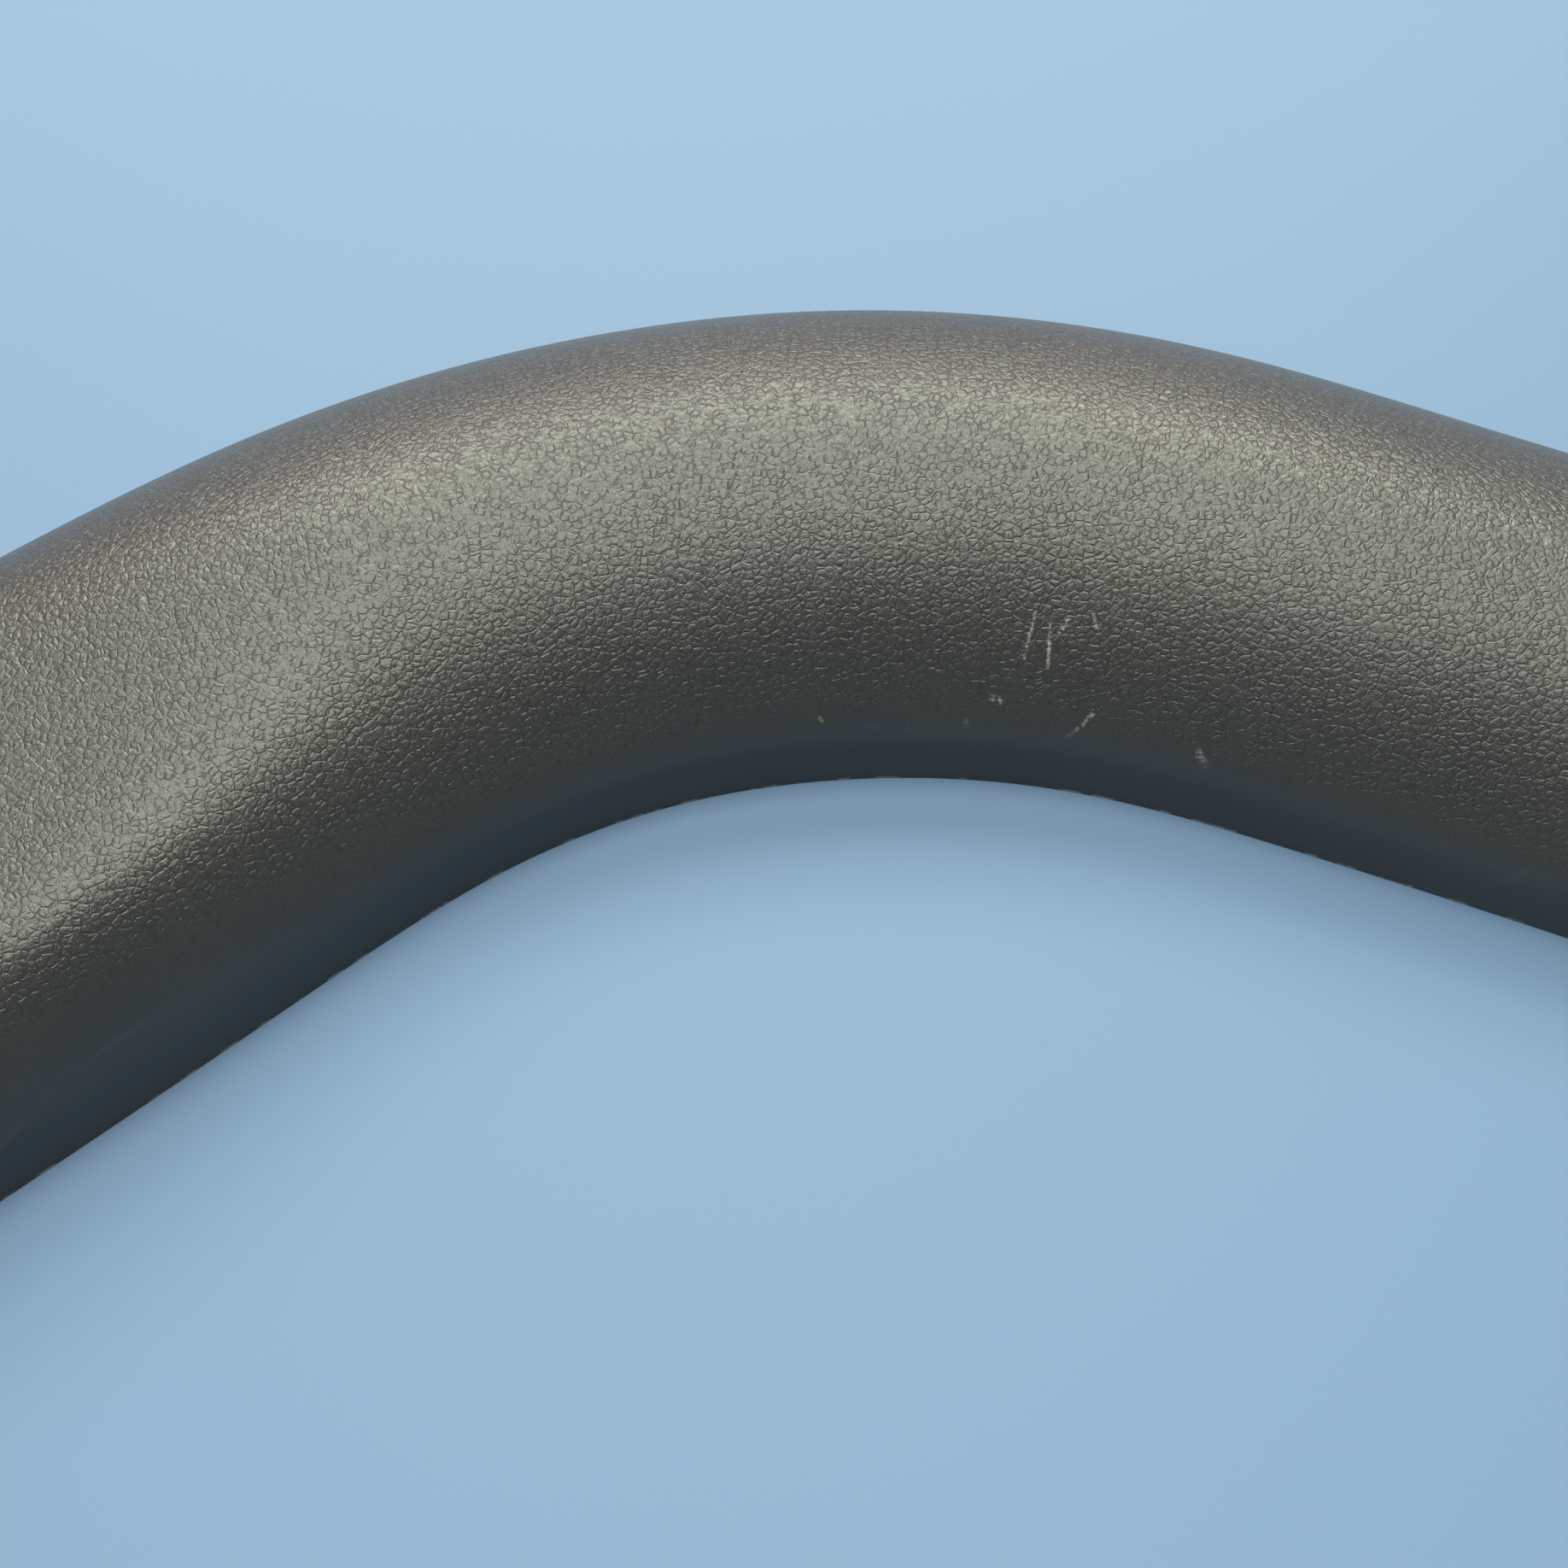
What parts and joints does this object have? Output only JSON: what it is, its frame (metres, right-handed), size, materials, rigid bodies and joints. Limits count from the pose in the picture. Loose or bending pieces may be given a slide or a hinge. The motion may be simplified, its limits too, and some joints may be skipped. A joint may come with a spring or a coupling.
{
  "type": "grab rail",
  "caption": "Bowed moulded grab rail in two plastic halves round a steel rod, with studded feet for a bulkhead.",
  "frame": {"origin": "middle of the whole rail's box in plan, on the plane that the top cover's rim rests on", "axes": "+X from the left foot to the right foot, +Y from the bulkhead out to the crown of the bow, +Z out of the grained face"},
  "size_m": [0.2908, 0.1378, 0.0214],
  "materials": {
    "grained_plastic": "charcoal black moulded plastic with a fine leather grain, satin",
    "smooth_plastic": "plain black moulded plastic with a fine matt texture",
    "core_steel": "bare stainless steel",
    "zinc_fasteners": "bright zinc plate",
    "gasket_rubber": "matt black rubber"
  },
  "bodies": {
    "root": {"back_cover": "smooth_plastic", "core_rod": "core_steel", "cover_screw_inner_1": "zinc_fasteners", "cover_screw_inner_2": "zinc_fasteners", "cover_screw_inner_3": "zinc_fasteners", "cover_screw_inner_4": "zinc_fasteners", "cover_screw_inner_5": "zinc_fasteners", "cover_screw_outer_1": "zinc_fasteners", "cover_screw_outer_2": "zinc_fasteners", "cover_screw_outer_3": "zinc_fasteners", "cover_screw_outer_4": "zinc_fasteners", "cover_screw_outer_5": "zinc_fasteners", "left_foot_plate": "core_steel", "left_gasket": "gasket_rubber", "left_inner_nut": "zinc_fasteners", "left_inner_stud": "zinc_fasteners", "left_inner_washer": "zinc_fasteners", "left_outer_nut": "zinc_fasteners", "left_outer_stud": "zinc_fasteners", "left_outer_washer": "zinc_fasteners", "right_foot_plate": "core_steel", "right_gasket": "gasket_rubber", "right_inner_nut": "zinc_fasteners", "right_inner_stud": "zinc_fasteners", "right_inner_washer": "zinc_fasteners", "right_outer_nut": "zinc_fasteners", "right_outer_stud": "zinc_fasteners", "right_outer_washer": "zinc_fasteners", "screw_plug_inner_1": "smooth_plastic", "screw_plug_inner_2": "smooth_plastic", "screw_plug_inner_3": "smooth_plastic", "screw_plug_inner_4": "smooth_plastic", "screw_plug_inner_5": "smooth_plastic", "screw_plug_outer_1": "smooth_plastic", "screw_plug_outer_2": "smooth_plastic", "screw_plug_outer_3": "smooth_plastic", "screw_plug_outer_4": "smooth_plastic", "screw_plug_outer_5": "smooth_plastic", "top_cover": "grained_plastic"}
  },
  "joints": []
}
